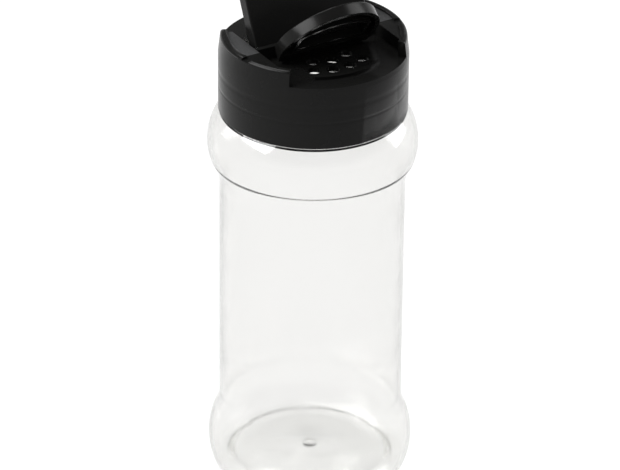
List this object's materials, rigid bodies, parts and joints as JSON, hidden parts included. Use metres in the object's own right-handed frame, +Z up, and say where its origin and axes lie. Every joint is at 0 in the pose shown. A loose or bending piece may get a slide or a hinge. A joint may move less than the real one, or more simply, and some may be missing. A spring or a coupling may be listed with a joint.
{
  "type": "spice shaker bottle",
  "caption": "Clear round spice bottle with a black screw cap whose two flip doors sift or pour.",
  "frame": {"origin": "centre of the foot ring, on the surface that the bottle stands on", "axes": "+Z up along the bottle's axis; -Y is the cap's front, where the sift door opens; +Y is the pour door; +X is along both door hinges"},
  "size_m": [0.0502, 0.0502, 0.1346],
  "materials": {
    "clear_plastic": "clear blown plastic, smooth and glossy, very faintly grey-green",
    "cap_plastic": "black moulded plastic, semi-gloss, with finely textured side lands",
    "foam": "white closed-cell foam, matte"
  },
  "bodies": {
    "bottle": {"bottle": "clear_plastic"},
    "seal": {"seal_ring": "foam"},
    "cap": {"cap_shell": "cap_plastic", "sift_hinge_strip": "cap_plastic", "pour_hinge_strip": "cap_plastic"},
    "sift_door": {"sift_door": "cap_plastic"},
    "pour_door": {"pour_door": "cap_plastic"}
  },
  "joints": [
    {"name": "cap_lift", "type": "slide", "parent": "bottle", "child": "seal", "axis": [0, 0, 1], "range_m": [0, 0.0144]},
    {"name": "cap_turn", "type": "hinge", "parent": "seal", "child": "cap", "pos_m": [0, 0, 0.111], "axis": [0, 0, 1], "range_deg": [0, 1224]},
    {"name": "sift_door_hinge", "type": "hinge", "parent": "cap", "child": "sift_door", "pos_m": [0, -0.0036, 0.1133], "axis": [-1, 0, 0], "range_deg": [-52, 33]},
    {"name": "pour_door_hinge", "type": "hinge", "parent": "cap", "child": "pour_door", "pos_m": [0, 0.0008, 0.11545], "axis": [1, 0, 0], "range_deg": [-65, 25]}
  ],
  "couplings": [
    {"joint": "cap_lift", "follows": "cap_turn", "m_per_rad": 0.0006737}
  ]
}
